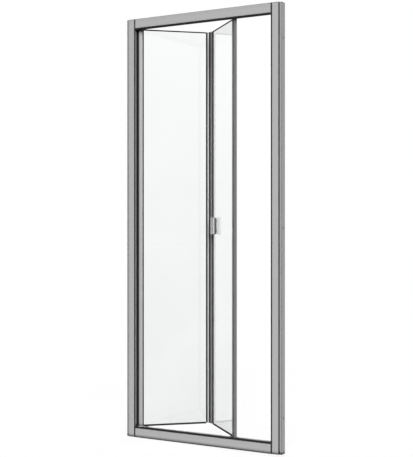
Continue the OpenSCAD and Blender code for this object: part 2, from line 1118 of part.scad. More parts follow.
// ---- bottom guide ----
module guide_shoe() {
    color(white)
        at_guide()
            difference() {
                translate([carriage_end - shoe_l, -shoe_w / 2, shoe_z0])
                    cube([shoe_l, shoe_w, shoe_h]);
                translate([0, 0, shoe_z0 + 3])
                    cylinder(h = shoe_h, r = pin_r);
            }
}

module guide_pin() {
    color(steel)
        at_guide()
            translate([0, 0, shoe_z0 + 3])
                cylinder(h = leaf_z0 + pin_in - shoe_z0 - 3, r = pin_r);
}

left_wall_profile();
right_wall_profile();
left_post();
right_post();
top_rail();
bottom_rail();
post_top_caps();
post_bottom_caps();
corner_screws();
adjusting_screws();
screw_caps();
post_edge_strips();
top_rail_seal();
bottom_rail_seal();
pivot_post_seal();
strike_magnet_seal();
top_pivot_block();
bottom_pivot_block();
pivot_block_screws();
top_pivot_bush();
bottom_pivot_bush();
thrust_washer();
track_buffer();
pivot_leaf_glass();
pivot_leaf_pivot_stile();
pivot_leaf_fold_stile();
pivot_leaf_gaskets();
pivot_leaf_top_trim();
pivot_leaf_drip_seal();
pivot_leaf_fold_caps();
top_pivot_plug();
bottom_pivot_plug();
pivot_pins();
hinge_rod();
guide_leaf_glass();
guide_leaf_fold_stile();
guide_leaf_closing_stile();
guide_leaf_gaskets();
guide_leaf_top_trim();
guide_leaf_drip_seal();
guide_leaf_fold_caps();
top_guide_plug();
bottom_guide_plug();
closing_magnet_seal();
handle_grip();
handle_base();
handle_pads();
handle_sleeves();
handle_bolts();
carriage_body();
carriage_axles();
axle_clips();
carriage_pin();
leading_outer_roller();
leading_inner_roller();
trailing_outer_roller();
trailing_inner_roller();
guide_shoe();
guide_pin();
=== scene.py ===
# %% [markdown]
# # A framed bifold shower door
# The real door is two glass leaves joined by a full-height hinge. The first leaf turns on pins
# beside the left post, the second follows the rails, and the pair folds into the shower.
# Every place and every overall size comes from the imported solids, which this script loads and
# never moves. The lesson is what to add on top: broken edges, rubber lips, turned and moulded
# pieces, finishes and light.

# %% Load the solids
import json
import math

import bmesh
import bpy
from mathutils import Matrix, Vector


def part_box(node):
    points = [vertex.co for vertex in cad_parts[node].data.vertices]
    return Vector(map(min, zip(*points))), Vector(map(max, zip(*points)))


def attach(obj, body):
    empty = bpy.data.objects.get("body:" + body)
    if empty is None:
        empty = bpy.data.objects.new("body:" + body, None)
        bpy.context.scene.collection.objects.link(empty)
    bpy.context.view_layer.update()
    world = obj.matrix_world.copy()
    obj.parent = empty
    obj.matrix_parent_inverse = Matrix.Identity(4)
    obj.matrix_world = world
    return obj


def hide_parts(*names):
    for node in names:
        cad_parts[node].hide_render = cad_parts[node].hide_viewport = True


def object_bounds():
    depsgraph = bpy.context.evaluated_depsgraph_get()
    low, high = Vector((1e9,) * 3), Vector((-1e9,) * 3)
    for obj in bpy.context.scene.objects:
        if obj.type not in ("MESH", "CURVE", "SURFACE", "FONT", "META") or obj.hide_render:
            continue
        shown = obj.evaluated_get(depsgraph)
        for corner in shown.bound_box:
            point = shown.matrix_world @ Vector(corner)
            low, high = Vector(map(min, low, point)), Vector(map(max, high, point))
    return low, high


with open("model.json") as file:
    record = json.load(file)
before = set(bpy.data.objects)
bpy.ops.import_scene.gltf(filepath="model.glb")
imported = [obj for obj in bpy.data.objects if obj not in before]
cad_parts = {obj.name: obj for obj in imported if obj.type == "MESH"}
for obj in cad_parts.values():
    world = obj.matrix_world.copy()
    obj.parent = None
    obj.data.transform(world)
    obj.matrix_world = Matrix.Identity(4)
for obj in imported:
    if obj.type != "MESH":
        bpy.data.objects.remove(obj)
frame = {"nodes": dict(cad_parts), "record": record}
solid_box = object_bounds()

MM = 0.001
record = frame["record"]
body_of_node = {
    node: body for body, nodes in record["behaviour"]["bodies"].items() for node in nodes
}
slot_of_node = {part["node"]: part["material_slot"] for part in record["subparts"]}

# %% [markdown]
# ## Where the leaves stand
# Each leaf has a frame of its own: its width runs along X, its thickness along Y. The joints in
# the record say where the pins are and how far the leaf can close from the pose it is drawn in,
# which is the angle it stands open.

# %% Leaf frames
joints = {joint["name"]: joint for joint in record["behaviour"]["joints"]}
opening = math.radians(-joints["pivot_leaf_swing"]["range_deg"][0])
pivot_x = joints["pivot_leaf_swing"]["pos_m"][0]
guide_x = joints["carriage_turn"]["pos_m"][0]
room = Matrix.Identity(4)
pivot_leaf = Matrix.Translation((pivot_x, 0, 0)) @ Matrix.Rotation(opening, 4, "Z")
guide_leaf = Matrix.Translation((guide_x, 0, 0)) @ Matrix.Rotation(-opening, 4, "Z")
print("pins at x", round(pivot_x, 4), "and", round(guide_x, 4))

# %% [markdown]
# ## The camera
# The photograph is a perspective view from the right of the door, level with its middle. The
# vanishing lines of the rails give the angle and the distance: a camera 4.4 m away at 0.956 m
# above the tray, turned 29.7 degrees, with a lens of 79 mm on a 36 mm sensor.

# %% Camera
SENSOR_WIDTH = 36.0
LENS = 78.78
LENS_SHIFT = -0.0036
FARTHEST = 100.0
CAMERA_PLACE = (2.18994, -3.81112, 0.95570)
LOOKING_LEVEL = math.radians(90.0)
CAMERA_TURN = math.radians(29.674)
camera_data = bpy.data.cameras.new("photo_camera")
camera_data.sensor_width = SENSOR_WIDTH
camera_data.lens = LENS
camera_data.shift_y = LENS_SHIFT
camera_data.clip_end = FARTHEST
camera = bpy.data.objects.new("photo_camera", camera_data)
camera.location = CAMERA_PLACE
camera.rotation_euler = (LOOKING_LEVEL, 0.0, CAMERA_TURN)
bpy.context.scene.collection.objects.link(camera)
bpy.context.scene.camera = camera
print("camera", tuple(round(v, 3) for v in camera.location))

# %% [markdown]
# ## Wiring shader nodes
# A finish is a small graph. One helper adds a node and either links or sets each socket, and
# three more wrap the nodes that come up most, so that each finish below reads as a short list of
# what it is made of.


# %% Node helpers
def add(tree, kind, sockets=None, **settings):
    """Adds a shader node. A socket value that is itself a socket is linked."""
    made = tree.nodes.new("ShaderNode" + kind)
    for name, value in settings.items():
        setattr(made, name, value)
    for name, value in (sockets or {}).items():
        if isinstance(value, bpy.types.NodeSocket):
            tree.links.new(value, made.inputs[name])
        else:
            made.inputs[name].default_value = value
    return made


def reckon(tree, operation, *values, **settings):
    """A sum, product or the like of sockets and plain numbers."""
    return add(tree, "Math", dict(enumerate(values)), operation=operation, **settings).outputs[0]


def mapped(tree, value, start, end, low=0.0, high=1.0):
    """Maps the range from start to end onto the range from low to high."""
    return add(tree, "MapRange", {"Value": value, "From Min": start, "From Max": end,
                                  "To Min": low, "To Max": high}).outputs[0]


def blend(tree, mask, under, over):
    """A colour that gives way to another as the mask goes from 0 to 1."""
    return add(tree, "Mix", {0: mask, 6: under, 7: over}, data_type="RGBA").outputs[2]


# %% Greys
def grey(level):
    """An sRGB level from 0 to 255 as a linear grey colour."""
    part = level / 255.0
    linear = part / 12.92 if part <= 0.04045 else ((part + 0.055) / 1.055) ** 2.4
    return (linear, linear, linear, 1.0)


print("mid grey is", round(grey(170)[0], 3), "in linear light")

# %% [markdown]
# ## Effects that several finishes share
# Extruded, brushed or turned metal shows fine lines. Rubber and metal have dried water on them,
# more towards the floor, and the same mask makes the panes greyer towards the foot. Edges that are
# handled wear lighter on rubber and steel. On the aluminium the edge mask is painted shade, a dark
# line along corners and seams, and the crevice mask, from ambient occlusion, is painted shade in
# corners and between parts. Each effect is a node group with named inputs, built once, which puts
# out only masks. The finishes choose whether a mask makes the surface lighter or darker.


# %% Start of a group
def new_group(name, inputs, outputs):
    """A node group with its sockets, ready to be wired from its entry to its leave sockets."""
    group = bpy.data.node_groups.new(name, "ShaderNodeTree")
    for label, kind, value in inputs:
        socket = group.interface.new_socket(label, in_out="INPUT", socket_type=kind)
        socket.default_value = value
    for label in outputs:
        group.interface.new_socket(label, in_out="OUTPUT", socket_type="NodeSocketFloat")
    entry = group.nodes.new("NodeGroupInput")
    leave = group.nodes.new("NodeGroupOutput")
    return group, entry.outputs, leave.inputs


# %% Drawn lines
BROAD_SCALE = 0.06
drawn_lines, entry, leave = new_group(
    "drawn_lines",
    [("Stretch", "NodeSocketVector", (900.0, 900.0, 2.0)), ("Scale", "NodeSocketFloat", 1.0)],
    ["Lines", "Broad"],
)
where = add(drawn_lines, "TexCoord").outputs["Object"]
along = add(drawn_lines, "VectorMath", {0: where, 1: entry["Stretch"]}, operation="MULTIPLY")
fine = add(drawn_lines, "TexNoise",
           {"Vector": along.outputs[0], "Scale": entry["Scale"], "Detail": 3.0})
slow = add(drawn_lines, "VectorMath", {0: along.outputs[0], "Scale": BROAD_SCALE},
           operation="SCALE")
broad = add(drawn_lines, "TexNoise",
            {"Vector": slow.outputs[0], "Scale": entry["Scale"], "Detail": 2.0})
drawn_lines.links.new(fine.outputs[0], leave["Lines"])
drawn_lines.links.new(broad.outputs[0], leave["Broad"])
print("group", drawn_lines.name)

# %% Dried water
SPOTS_PER_METRE = 140.0
door_top = solid_box[1][2]
dried_water, entry, leave = new_group(
    "dried_water",
    [("Scale", "NodeSocketFloat", 9.0), ("Top", "NodeSocketFloat", door_top)],
    ["Film", "Spots"],
)
where = add(dried_water, "TexCoord").outputs["Object"]
cloud = add(dried_water, "TexNoise", {"Vector": where, "Scale": entry["Scale"], "Detail": 5.0})
height = add(dried_water, "SeparateXYZ", {"Vector": where}).outputs["Z"]
share = reckon(dried_water, "DIVIDE", height, entry["Top"])
low = reckon(dried_water, "SUBTRACT", 1.0, share, use_clamp=True)
patchy = mapped(dried_water, cloud.outputs[0], start=0.3, end=0.7, low=0.55)
film = reckon(dried_water, "MULTIPLY", low, patchy)
dots = add(dried_water, "TexVoronoi", {"Vector": where, "Scale": SPOTS_PER_METRE})
spots = mapped(dried_water, dots.outputs["Distance"], start=0.25, end=0.1)
dried_water.links.new(film, leave["Film"])
dried_water.links.new(spots, leave["Spots"])
print("group", dried_water.name)

# %% Worn edges, and painted shade on corners
edge_wear_and_shade, entry, leave = new_group(
    "edge_wear_and_shade", [("Width", "NodeSocketFloat", 0.001)], ["Edge"]
)
# Lighter on rubber and steel, where edges wear. On aluminium this mask is painted shade along
# corners and seams.
rounded = add(edge_wear_and_shade, "Bevel", {"Radius": entry["Width"]}, samples=4)
true_side = add(edge_wear_and_shade, "NewGeometry").outputs["Normal"]
alike = add(edge_wear_and_shade, "VectorMath", {0: rounded.outputs[0], 1: true_side},
            operation="DOT_PRODUCT")
edge = mapped(edge_wear_and_shade, alike.outputs["Value"], start=0.998, end=0.95)
edge_wear_and_shade.links.new(edge, leave["Edge"])
print("group", edge_wear_and_shade.name)

# %% Crevices, painted shade from ambient occlusion
crevice_shade, entry, leave = new_group(
    "crevice_shade", [("Reach", "NodeSocketFloat", 0.006)], ["Grime"]
)
openness = add(crevice_shade, "AmbientOcclusion", {"Distance": entry["Reach"]}, samples=8)
# Painted shade: the less open a spot is within the reach, the darker it is painted.
painted_shade = mapped(crevice_shade, openness.outputs["AO"], start=0.92, end=0.6)
crevice_shade.links.new(painted_shade, leave["Grime"])
print("group", crevice_shade.name)


# %% [markdown]
# ## Finishes
# A Principled shader reads the masks. Numbers that are the same all over a surface are set on its
# sockets. What varies comes through nodes: tone, roughness and a shallow bump.


# %% Start of a finish
def new_finish(name, **constants):
    """A material with its node tree and its Principled shader."""
    finish = bpy.data.materials.new(name)
    finish.use_nodes = True
    tree = finish.node_tree
    skin = tree.nodes["Principled BSDF"]
    for label, value in constants.items():
        skin.inputs[label.replace("_", " ")].default_value = value
    return finish, tree, skin


def use(tree, group, **values):
    """Places a node group in a finish, with values of its own."""
    made = tree.nodes.new("ShaderNodeGroup")
    made.node_tree = group
    for label, value in values.items():
        made.inputs[label].default_value = value
    return made.outputs


def tone(tree, mask, dark, light):
    """A grey that runs from one sRGB level to another with a mask."""
    return blend(tree, mask, grey(dark), grey(light))


def varied(tree, noise, low, high):
    """A number that wanders between low and high with a noise."""
    return mapped(tree, noise, start=0.25, end=0.75, low=low, high=high)


def bump(tree, height, strength, depth):
    """A normal that tilts with a height."""
    sockets = {"Height": height, "Strength": strength, "Distance": depth}
    return add(tree, "Bump", sockets).outputs[0]


# %% [markdown]
# ## Aluminium
# The extrusions are anodised: a matt, slightly clouded skin with the lines of the die along each
# bar. Their corners and seams get painted shade, darker than their faces, so that neighbouring
# bars stay apart to the eye. The lines have to follow the bar, so uprights and rails differ in
# their stretch, and the handle is brushed across. The stiles are lit and shaded copies of one
# aluminium: three of the four are painted a little darker than the frame, the first fold stile a
# little lighter. The two at the fold are narrow, so their painted dark edges are narrow too.

# %% Satin aluminium
# Dark grey of the painted shade along corners, seams and crevices.
PAINTED_SHADE_TONE = grey(30)
FRAME_SHADE = 174
UPRIGHT_LINES = (700.0, 700.0, 1.4)
LEVEL_LINES = (1.4, 700.0, 700.0)
HANDLE_LINES = (40.0, 40.0, 1400.0)
SHADE_SPREAD = 6
ROUGHNESS_SPREAD = 0.05
WATER_DULLING = 0.06


def satin_aluminium(name, shade, stretch, roughness=0.52, edge_width=0.0034, shade_reach=0.018):
    """Anodised aluminium, its lines running where the stretch is small, with painted shade on
    corners, seams and crevices.
    """
    finish, tree, skin = new_finish(name, Metallic=0.2, IOR=1.45)
    lines = use(tree, drawn_lines, Stretch=stretch)
    film_mask = use(tree, dried_water, Scale=7.0)
    wear_and_shade = use(tree, edge_wear_and_shade, Width=edge_width)
    crevice_shading = use(tree, crevice_shade, Reach=shade_reach)
    drawn = tone(tree, lines["Broad"], shade - SHADE_SPREAD, shade + SHADE_SPREAD)
    # Painted shade: the edge mask darkens corners and seams.
    edged = blend(tree, wear_and_shade["Edge"], drawn, PAINTED_SHADE_TONE)
    # Painted shade: the crevice mask darkens corners and gaps between parts.
    crevice_shaded = blend(tree, crevice_shading["Grime"], edged, PAINTED_SHADE_TONE)
    tree.links.new(crevice_shaded, skin.inputs["Base Color"])
    rough = varied(tree, lines["Broad"], roughness - ROUGHNESS_SPREAD,
                   roughness + ROUGHNESS_SPREAD)
    dulled = reckon(tree, "MULTIPLY_ADD", film_mask["Film"], WATER_DULLING, rough)
    tree.links.new(dulled, skin.inputs["Roughness"])
    ridges = bump(tree, lines["Lines"], strength=0.25, depth=0.00006)
    tree.links.new(ridges, skin.inputs["Normal"])
    return finish


upright_metal = satin_aluminium("satin_aluminium_upright", FRAME_SHADE, UPRIGHT_LINES)
level_metal = satin_aluminium("satin_aluminium_level", FRAME_SHADE, LEVEL_LINES)
# Painted light and shade: copies of the frame's aluminium at other shades. The pivot and closing
# stiles and the second fold stile are darker, and the first fold stile is a little lighter.
shaded_leaf_metal = satin_aluminium("satin_aluminium_leaf_shaded", 152, UPRIGHT_LINES)
lit_first_fold_metal = satin_aluminium("satin_aluminium_first_fold_lit", 178, UPRIGHT_LINES,
                                   edge_width=0.0015, shade_reach=0.004)
shaded_second_fold_metal = satin_aluminium("satin_aluminium_second_fold_shaded", 134, UPRIGHT_LINES,
                                    edge_width=0.0015, shade_reach=0.002)
# The handle's painted dark edges are wider.
handle_metal = satin_aluminium("satin_aluminium_handle", 176, HANDLE_LINES, roughness=0.46,
                               edge_width=0.0055)
print("aluminium finishes ready")

# %% [markdown]
# ## Rubber, vinyl and nylon
# Moulded and extruded plastics share one recipe: a fine grain in the skin, a cloudy tone and
# edges that rub lighter. Only the shade, the roughness and the grain differ.


# %% Moulded skins
WATER_LIGHTER = 10
RUBBED_LIGHTER = 24


def moulded(name, shade, roughness, grain, depth):
    """Rubber or plastic with a fine grain."""
    finish, tree, skin = new_finish(name)
    where = add(tree, "TexCoord").outputs["Object"]
    fine = add(tree, "TexNoise", {"Vector": where, "Scale": grain, "Detail": 4.0}).outputs[0]
    film_mask = use(tree, dried_water, Scale=12.0)
    wear_and_shade = use(tree, edge_wear_and_shade, Width=0.0008)
    cloudy = tone(tree, film_mask["Film"], shade, shade + WATER_LIGHTER)
    rubbed = blend(tree, wear_and_shade["Edge"], cloudy, grey(shade + RUBBED_LIGHTER))
    tree.links.new(rubbed, skin.inputs["Base Color"])
    rough = varied(tree, fine, low=roughness - 0.06, high=roughness + 0.08)
    tree.links.new(rough, skin.inputs["Roughness"])
    tree.links.new(bump(tree, fine, strength=0.3, depth=depth), skin.inputs["Normal"])
    return finish


rubber = moulded("black_seal_rubber", shade=6, roughness=0.72, grain=1600.0, depth=0.00004)
magnet_vinyl = moulded("grey_magnet_vinyl", shade=96, roughness=0.5, grain=1200.0, depth=0.00003)
grey_moulding = moulded("grey_moulding", shade=150, roughness=0.45, grain=1400.0, depth=0.00003)
dark_moulding = moulded("dark_grey_moulding", shade=58, roughness=0.5, grain=1400.0,
                        depth=0.00003)
white_moulding = moulded("white_nylon_moulding", shade=196, roughness=0.4, grain=1400.0,
                         depth=0.00002)
print("moulded finishes ready")

# %% [markdown]
# ## Steel and glass
# Pins, axles and screws are stainless steel off a lathe, with fine lines round the upright pins.
# The panes are clear toughened glass. A Principled shader with full transmission would shade
# what stands behind it from the lamps, so rays that look for a lamp meet a plain transparent
# surface instead.

# %% Turned steel
TURNED_LINES = (260.0, 260.0, 2600.0)
POLISHED = grey(226)


def turned_steel(name):
    """Bright steel with the marks of the lathe."""
    finish, tree, skin = new_finish(name, Metallic=0.9)
    lines = use(tree, drawn_lines, Stretch=TURNED_LINES)
    wear_and_shade = use(tree, edge_wear_and_shade, Width=0.0006)
    bright = tone(tree, lines["Lines"], dark=178, light=206)
    tree.links.new(blend(tree, wear_and_shade["Edge"], bright, POLISHED), skin.inputs["Base Color"])
    tree.links.new(varied(tree, lines["Broad"], low=0.22, high=0.36), skin.inputs["Roughness"])
    ridges = bump(tree, lines["Lines"], strength=0.2, depth=0.00002)
    tree.links.new(ridges, skin.inputs["Normal"])
    return finish


steel = turned_steel("turned_stainless_steel")
print("steel ready")


# %% Clear glass
SPOT_ROUGHNESS = 0.03
LAMP_LIGHT_LEFT = (0.93, 0.95, 0.94, 1.0)


def safety_glass(name, top, foot):
    """Toughened glass that lets lamp light through, a little greyer towards the foot."""
    finish, tree, skin = new_finish(name, Transmission_Weight=1.0, IOR=1.5, Metallic=0.0)
    film_mask = use(tree, dried_water, Scale=3.0)
    # The pane's colour runs greyer, in patches, towards the foot along the film mask.
    tree.links.new(blend(tree, film_mask["Film"], top, foot), skin.inputs["Base Color"])
    dulled = reckon(tree, "MULTIPLY", film_mask["Spots"], SPOT_ROUGHNESS)
    tree.links.new(dulled, skin.inputs["Roughness"])
    path = add(tree, "LightPath").outputs["Is Shadow Ray"]
    through = add(tree, "BsdfTransparent", {"Color": LAMP_LIGHT_LEFT})
    both = add(tree, "MixShader", {0: path, 1: skin.outputs[0], 2: through.outputs[0]})
    tree.links.new(both.outputs[0], tree.nodes["Material Output"].inputs["Surface"])
    return finish


pane_glass = safety_glass("clear_safety_glass", top=(0.99, 1.0, 0.995, 1.0),
                          foot=(0.85, 0.86, 0.86, 1.0))
print("glass ready")

# %% Finish for each slot of the record
finish_of_slot = {
    "frame_aluminium": upright_metal,
    "handle_aluminium": handle_metal,
    "black_rubber": rubber,
    "magnet_strip": magnet_vinyl,
    "grey_plastic": grey_moulding,
    "white_nylon": white_moulding,
    "stainless_steel": steel,
    "clear_glass": pane_glass,
}
print("slots", len(finish_of_slot))

# %% [markdown]
# ## Making pieces
# A new piece stands for one or more solids. It takes their body, so that it moves with them, and
# their slot in the record, so that it gets the same finish. Narrow strips, such as a rounded
# edge, are shaded smooth and wide flat faces stay flat.

# %% Shading
NARROW = 1.3 * MM
FACET_TURN = 9.0
ROUNDING_TURN = 32.0


def is_narrow(face):
    """Tells a strip, such as one step of a rounding, from a wide flat face."""
    return face.calc_area() / max(edge.calc_length() for edge in face.edges) < NARROW


def set_shading(shape):
    """Smooth across small facets and narrow strips, sharp everywhere else."""
    for face in shape.faces:
        face.smooth = True
    for edge in shape.edges:
        turn = abs(math.degrees(edge.calc_face_angle(math.pi)))
        rounding = turn < ROUNDING_TURN and all(is_narrow(face) for face in edge.link_faces)
        edge.smooth = turn < FACET_TURN or rounding


# %% Piece from a mesh
def new_piece(name, shape, *nodes, finish=None):
    """Makes the object, gives it its finish, hangs it on the body it rides on and hides the solids
    it stands for.
    """
    bmesh.ops.recalc_face_normals(shape, faces=shape.faces)
    set_shading(shape)
    mesh = bpy.data.meshes.new(name)
    shape.to_mesh(mesh)
    shape.free()
    mesh.materials.append(finish or finish_of_slot[slot_of_node[nodes[0]]])
    piece = bpy.data.objects.new(name, mesh)
    bpy.context.scene.collection.objects.link(piece)
    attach(piece, body_of_node[nodes[0]])
    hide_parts(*nodes)
    return piece


# %% Measuring a solid in a leaf's own frame
def local_box(node, place):
    """Lowest and highest corner of a solid in millimetres, along the axes of its leaf."""
    back = place.inverted()
    points = [back @ vertex.co for vertex in frame["nodes"][node].data.vertices]
    low = Vector(min(p[i] for p in points) / MM for i in range(3))
    high = Vector(max(p[i] for p in points) / MM for i in range(3))
    return low, high


print("pane", [round(v, 1) for v in local_box("pivot_leaf_glass", pivot_leaf)[1]])

# %% [markdown]
# ## Breaking edges
# An extruded, sawn or moulded edge is never perfectly sharp. A solid whose shape is right is
# copied, its triangles are dissolved back into flat faces, and its edges get a narrow rounding
# that catches the light. A Bevel modifier would treat all of them alike. The bevel operator takes
# only those it is given, which are the outward ones and, on an extrusion, the long ones.

# %% Broken edges
SAME_POINT = 0.002 * MM
SAME_FACE = math.radians(0.5)
SHARP = math.radians(30.0)


def flat_faces(node):
    """A copy of a solid, with its triangles joined into flat faces."""
    shape = bmesh.new()
    shape.from_mesh(frame["nodes"][node].data)
    bmesh.ops.remove_doubles(shape, verts=shape.verts, dist=SAME_POINT)
    bmesh.ops.dissolve_limit(shape, angle_limit=SAME_FACE, verts=shape.verts, edges=shape.edges)
    return shape


def broken(node, width, steps=2, shortest=0.0, finish=None):
    """A solid with its outward corners rounded by width, along edges of some length."""
    shape = flat_faces(node)
    corners = [
        edge for edge in shape.edges
        if edge.is_manifold and edge.is_convex and edge.calc_length() >= shortest * MM
        and edge.calc_face_angle() > SHARP
    ]
    bmesh.ops.bevel(shape, geom=corners, offset=width * MM, offset_type="OFFSET", affect="EDGES",
                    segments=steps, profile=0.5, material=-1, clamp_overlap=True)
    return new_piece(node + "_finished", shape, node, finish=finish)


# %% Frame extrusions
LONG = 300.0
for node in ("left_post", "right_post", "left_wall_profile", "right_wall_profile"):
    broken(node, width=0.5, shortest=LONG)
for node in ("top_rail", "bottom_rail"):
    broken(node, width=0.5, shortest=LONG, finish=level_metal)
print("frame edges broken")

# %% Leaf extrusions
KNUCKLE_R = 4.5
KNUCKLE_PLAY = 0.1
fold_axis = Vector(joints["fold_hinge_turn"]["pos_m"])


def sleeve_barrels(piece):
    """Gives the hinge barrels of a stile their dark sleeve."""
    piece.data.materials.append(rubber)
    for face in piece.data.polygons:
        corners = [piece.data.vertices[k].co for k in face.vertices]
        reach = max(math.hypot(c.x - fold_axis.x, c.y - fold_axis.y) for c in corners)
        if reach < (KNUCKLE_R + KNUCKLE_PLAY) * MM:
            face.material_index = 1


# Each stile gets its lit or shaded copy of the aluminium.
for node in ("pivot_leaf_pivot_stile", "guide_leaf_closing_stile"):
    broken(node, width=0.6, steps=3, shortest=LONG, finish=shaded_leaf_metal)
for node, finish in (("pivot_leaf_fold_stile", lit_first_fold_metal),
                     ("guide_leaf_fold_stile", shaded_second_fold_metal)):
    sleeve_barrels(broken(node, width=0.6, steps=3, shortest=LONG, finish=finish))
print("stile edges broken")

# %% Moulded and cut pieces
for node in ("post_top_caps", "post_bottom_caps", "screw_caps"):
    broken(node, width=0.5, steps=3)
for node in ("top_pivot_block", "bottom_pivot_block", "carriage_body", "guide_shoe"):
    broken(node, width=0.8, steps=3)
for node in ("top_pivot_plug", "bottom_pivot_plug", "top_guide_plug", "bottom_guide_plug",
             "pivot_leaf_fold_caps", "guide_leaf_fold_caps"):
    broken(node, width=0.25)
print("mouldings ready")

# %% [markdown]
# ## Panes
# The panes are 6 mm toughened glass. Before it is hardened, each edge is ground to a narrow arris
# so that it can be handled. A bevel of one step is that arris.

# %% Panes
for node in ("pivot_leaf_glass", "guide_leaf_glass"):
    broken(node, width=0.5, steps=1)
print("panes arrised")


# %% [markdown]
# ## Extruded rubber
# Gaskets, trims, seals and strips have one section all along and are cut to length. Bevelled
# boxes would lack their beads, lips and grooves. So each one starts as an outline of a few
# points, with its rounded parts as arcs, and is extruded once.


# %% Outline tools
def arc(centre_x, centre_y, radius_x, radius_y, start, end, steps=6):
    """Points on an ellipse between two angles in degrees."""
    angles = [math.radians(start + (end - start) * k / steps) for k in range(steps + 1)]
    return [(centre_x + radius_x * math.cos(a), centre_y + radius_y * math.sin(a)) for a in angles]


def mirrored(outline):
    """The same outline on the other side of the X axis, in reverse order."""
    return [(x, -y) for x, y in reversed(outline)]


def prism(shape, outline, low, high, place):
    """Extrudes an outline in millimetres from height low to height high, then puts it in place."""
    rim = [shape.verts.new((x * MM, y * MM, low * MM)) for x, y in outline]
    foot = shape.faces.new(rim)
    grown = bmesh.ops.extrude_face_region(shape, geom=[foot])
    raised = [part for part in grown["geom"] if isinstance(part, bmesh.types.BMVert)]
    bmesh.ops.translate(shape, verts=raised, vec=(0.0, 0.0, (high - low) * MM))
    bmesh.ops.transform(shape, matrix=place, verts=rim + raised)


def prism_piece(name, node, outline, low, high, place):
    """One piece from one outline."""
    shape = bmesh.new()
    prism(shape, outline, low, high, place)
    new_piece(name, shape, node)


# %% Places
def at(x, y, z=0.0):
    """A place in millimetres whose own Z axis points up."""
    return Matrix.Translation((x * MM, y * MM, z * MM))


# This place turns an outline given as (depth, height), so that it is extruded along X.
ALONG_X = Matrix(((0, 0, 1, 0), (1, 0, 0, 0), (0, 1, 0, 0), (0, 0, 0, 1)))

# %% Glazing gaskets
GLASS_HALF = 3.0
SLOT_HALF = 4.3
GASKET_BED = 0.8
BEAD_REACH = 5.5
BEAD_HALF = 4.8
BEAD_FLAT = 0.6


def gasket_outline(depth):
    """U section round the edge of the glass, its beads pressed against both faces."""
    bead = arc(BEAD_FLAT, GLASS_HALF, BEAD_REACH - BEAD_FLAT, BEAD_HALF - GLASS_HALF,
               90.0, 0.0, steps=8)
    half = [(-depth, SLOT_HALF), (0.0, SLOT_HALF), (0.0, BEAD_HALF)] + bead
    half.append((GASKET_BED - depth, GLASS_HALF))
    return half + mirrored(half)


def gaskets(node, glass_node, place, mouths):
    """One gasket per stile. Each mouth is the edge of a stile and the way the glass goes."""
    low, high = local_box(node, place)
    glass_low, glass_high = local_box(glass_node, place)
    shape = bmesh.new()
    for mouth, way in mouths:
        glass_edge = glass_low.x if way > 0 else glass_high.x
        depth = abs(mouth - glass_edge) + GASKET_BED
        mouth_place = place @ at(mouth, 0.0) @ Matrix.Diagonal((way, 1, 1, 1))
        prism(shape, gasket_outline(depth), low.z, high.z, mouth_place)
    new_piece(node + "_extruded", shape, node)


pivot_edge = local_box("pivot_leaf_pivot_stile", pivot_leaf)[1].x
pivot_fold_edge = local_box("pivot_leaf_fold_stile", pivot_leaf)[0].x
guide_fold_edge = local_box("guide_leaf_fold_stile", guide_leaf)[1].x
closing_edge = local_box("guide_leaf_closing_stile", guide_leaf)[0].x
gaskets("pivot_leaf_gaskets", "pivot_leaf_glass", pivot_leaf,
        [(pivot_edge, 1), (pivot_fold_edge, -1)])
gaskets("guide_leaf_gaskets", "guide_leaf_glass", guide_leaf,
        [(guide_fold_edge, 1), (closing_edge, -1)])
stile_edges = (pivot_edge, pivot_fold_edge, guide_fold_edge, closing_edge)
print("gaskets at", [round(v, 1) for v in stile_edges])

# %% Trims on the glass edges
TRIM_HALF = 4.0
TRIM_ROUND = 1.2
TRIM_BED = 1.0
LIP_H = 0.8
LIP_T = 0.5


def clip_outline(closed, open_end, glass_end):
    """U clip over a glass edge, as (depth, height), from its closed side to its open one."""
    way = 1.0 if open_end > closed else -1.0
    corner = arc(TRIM_HALF - TRIM_ROUND, closed + way * TRIM_ROUND, TRIM_ROUND, TRIM_ROUND * way,
                 -90.0, 0.0)
    half = corner + [(TRIM_HALF, open_end - way * LIP_H), (TRIM_HALF - LIP_T, open_end),
                     (GLASS_HALF, open_end), (GLASS_HALF, glass_end)]
    return half + [(-x, y) for x, y in reversed(half)]


def top_trim(node, glass_node, place):
    """A clip on the top edge of a pane, closed at the top."""
    low, high = local_box(node, place)
    glass_top = local_box(glass_node, place)[1].z
    outline = clip_outline(high.z, low.z, glass_top)
    prism_piece(node + "_extruded", node, outline, low.x, high.x, place @ ALONG_X)


# %% Drip seals, a clip with three fins below it
FIN_PITCH = 2.4
FIN_SPLAY = 0.5
FIN_ROOT_HALF = 0.45
FIN_TIP_HALF = 0.2
FIN_SUNK = 0.3
FIN_INSET = 0.5


def fin_outline(side, root_z, tip_z):
    """A fin that narrows and leans outwards. Its side is -1, 0 or 1."""
    root = side * FIN_PITCH
    tip = side * (FIN_PITCH + FIN_SPLAY)
    return [(root - FIN_ROOT_HALF, root_z), (root + FIN_ROOT_HALF, root_z),
            (tip + FIN_TIP_HALF, tip_z), (tip - FIN_TIP_HALF, tip_z)]


def drip_seal(node, glass_node, place):
    """A clip on the bottom edge of a pane, closed at the bottom, with its fins."""
    low, high = local_box(node, place)
    glass_foot = local_box(glass_node, place)[0].z
    clip_foot = glass_foot - TRIM_BED
    shape = bmesh.new()
    prism(shape, clip_outline(clip_foot, high.z, glass_foot), low.x, high.x, place @ ALONG_X)
    for side in (-1.0, 0.0, 1.0):
        fin = fin_outline(side, clip_foot + FIN_SUNK, low.z)
        prism(shape, fin, low.x + FIN_INSET, high.x - FIN_INSET, place @ ALONG_X)
    new_piece(node + "_extruded", shape, node)


for leaf, place in (("pivot_leaf", pivot_leaf), ("guide_leaf", guide_leaf)):
    top_trim(leaf + "_top_trim", leaf + "_glass", place)
    drip_seal(leaf + "_drip_seal", leaf + "_glass", place)
print("edge trims ready")

